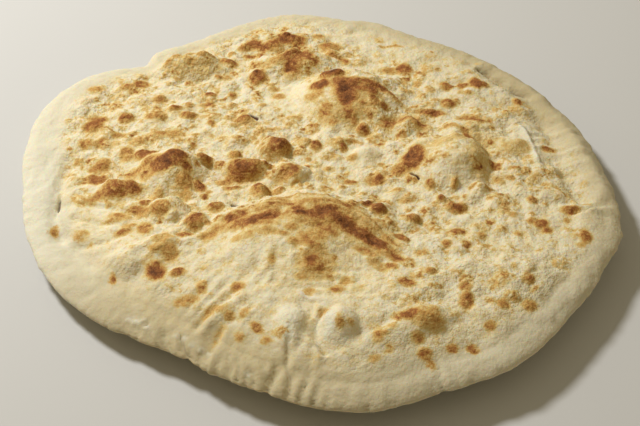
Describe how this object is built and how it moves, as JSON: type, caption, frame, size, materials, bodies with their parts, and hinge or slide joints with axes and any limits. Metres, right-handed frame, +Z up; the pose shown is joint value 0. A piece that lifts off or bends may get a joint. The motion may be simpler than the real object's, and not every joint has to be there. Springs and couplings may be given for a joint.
{
  "type": "laffa bread",
  "caption": "Large round flatbread with a rounded rim and a puffed, blistered top crust, served whole to tear, dip or wrap.",
  "frame": {"origin": "middle of the bread's box on the surface it lies on", "axes": "+Z up out of the blistered top, +X to the right and +Y to the back as the bread is served, with the great bubble at the front"},
  "size_m": [0.3166, 0.3218, 0.0358],
  "materials": {
    "crust": "dry, matte baked crust, cream with golden and brown scorch marks"
  },
  "bodies": {
    "root": {"laffa": "crust"}
  },
  "joints": []
}
